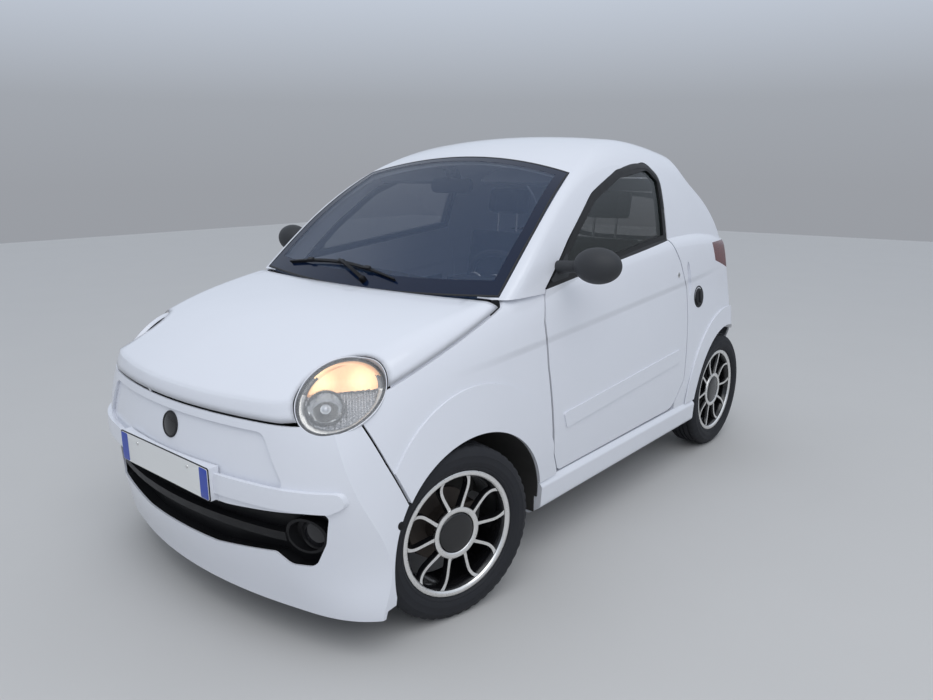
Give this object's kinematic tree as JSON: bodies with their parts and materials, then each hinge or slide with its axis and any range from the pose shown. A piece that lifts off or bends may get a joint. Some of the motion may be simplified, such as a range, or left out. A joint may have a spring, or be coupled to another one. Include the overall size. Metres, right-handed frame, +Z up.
{
  "type": "quadricycle",
  "caption": "Short two-seat, two-door enclosed quadricycle with a rounded bonnet, oval headlamps, spoked wheels, an opening tailgate and steered front wheels.",
  "frame": {"origin": "on the ground at the middle of the bounding box in plan", "axes": "-Y towards the nose, +X towards the vehicle's left side, +Z up"},
  "size_m": [1.8296, 3.005, 1.5294],
  "materials": {
    "paint": "gloss",
    "black_plastic": "matte",
    "black_trim": "satin",
    "black_metal": "satin",
    "engine": "matte",
    "exhaust_steel": "satin",
    "iron": "matte",
    "screen_glass": "gloss",
    "side_glass": "gloss",
    "lens": "gloss",
    "red_lens": "gloss",
    "reflector": "gloss",
    "seat_fabric": "matte",
    "tyre": "matte",
    "rim": "gloss"
  },
  "bodies": {
    "body": {"front_bumper": "paint", "grille": "black_plastic", "wing_left": "paint", "wing_right": "paint", "sill_left": "paint", "sill_right": "paint", "body_shell": "paint", "tail_lamp_left": "red_lens", "tail_lamp_right": "red_lens", "windscreen": "screen_glass", "rear_bumper": "paint", "headlamp_left": "reflector", "headlamp_right": "reflector", "headlamp_lens_left": "lens", "headlamp_lens_right": "lens", "rear_liners": "black_plastic", "front_liners": "black_plastic", "floor_pan": "black_metal", "front_frame": "black_metal", "engine_block": "engine", "exhaust": "exhaust_steel", "rear_axle": "black_metal", "dashboard": "black_trim", "seat_left": "seat_fabric", "seat_right": "seat_fabric"},
    "bonnet": {"bonnet": "paint"},
    "tailgate": {"tailgate": "paint", "rear_window": "screen_glass"},
    "door_left": {"door_left": "paint", "door_frame_left": "black_trim", "door_glass_left": "side_glass", "mirror_left": "black_trim"},
    "door_right": {"door_right": "paint", "door_frame_right": "black_trim", "door_glass_right": "side_glass", "mirror_right": "black_trim"},
    "knuckle_left": {"knuckle_left": "iron"},
    "knuckle_right": {"knuckle_right": "iron"},
    "wheel_front_left": {"tyre_front_left": "tyre", "rim_front_left": "rim"},
    "wheel_front_right": {"tyre_front_right": "tyre", "rim_front_right": "rim"},
    "wheel_rear_left": {"tyre_rear_left": "tyre", "rim_rear_left": "rim"},
    "wheel_rear_right": {"tyre_rear_right": "tyre", "rim_rear_right": "rim"},
    "steering_wheel": {"steering_wheel": "black_trim"}
  },
  "joints": [
    {"name": "bonnet_hinge", "type": "hinge", "parent": "body", "child": "bonnet", "pos_m": [0, -0.662, 0.955], "axis": [1, 0, 0], "range_deg": [-50, 0]},
    {"name": "tailgate_hinge", "type": "hinge", "parent": "body", "child": "tailgate", "pos_m": [0, 1.08, 1.348], "axis": [1, 0, 0], "range_deg": [0, 70]},
    {"name": "door_left_hinge", "type": "hinge", "parent": "body", "child": "door_left", "pos_m": [0.722, -0.425, 0.45], "axis": [-0.069, 0, 0.9976], "range_deg": [-65, 0]},
    {"name": "door_right_hinge", "type": "hinge", "parent": "body", "child": "door_right", "pos_m": [-0.722, -0.425, 0.45], "axis": [0.069, 0, 0.9976], "range_deg": [0, 65]},
    {"name": "steer_left", "type": "hinge", "parent": "body", "child": "knuckle_left", "pos_m": [0.535, -0.9, 0.2835], "axis": [0, 0, 1], "range_deg": [-15.3, 40.7]},
    {"name": "steer_right", "type": "hinge", "parent": "body", "child": "knuckle_right", "pos_m": [-0.535, -0.9, 0.2835], "axis": [0, 0, 1], "range_deg": [-15.3, 40.7]},
    {"name": "steering_wheel_turn", "type": "hinge", "parent": "body", "child": "steering_wheel", "pos_m": [0.29, -0.13, 0.905], "axis": [0, -0.8829, -0.4695], "range_deg": [-598.4, 224.9]},
    {"name": "spin_front_left", "type": "hinge", "parent": "knuckle_left", "child": "wheel_front_left", "pos_m": [0.66182, -0.92858, 0.2835], "axis": [0.9755, -0.2198, 0], "continuous": true},
    {"name": "spin_front_right", "type": "hinge", "parent": "knuckle_right", "child": "wheel_front_right", "pos_m": [-0.66182, -0.87142, 0.2835], "axis": [0.9755, -0.2198, 0], "continuous": true},
    {"name": "spin_rear_left", "type": "hinge", "parent": "body", "child": "wheel_rear_left", "pos_m": [0.642, 1.08, 0.2835], "axis": [1, 0, 0], "continuous": true},
    {"name": "spin_rear_right", "type": "hinge", "parent": "body", "child": "wheel_rear_right", "pos_m": [-0.642, 1.08, 0.2835], "axis": [1, 0, 0], "continuous": true}
  ],
  "couplings": [
    {"joint": "steer_right", "follows": "steer_left", "ratio": 1},
    {"joint": "steering_wheel_turn", "follows": "steer_left", "ratio": -14.7}
  ]
}
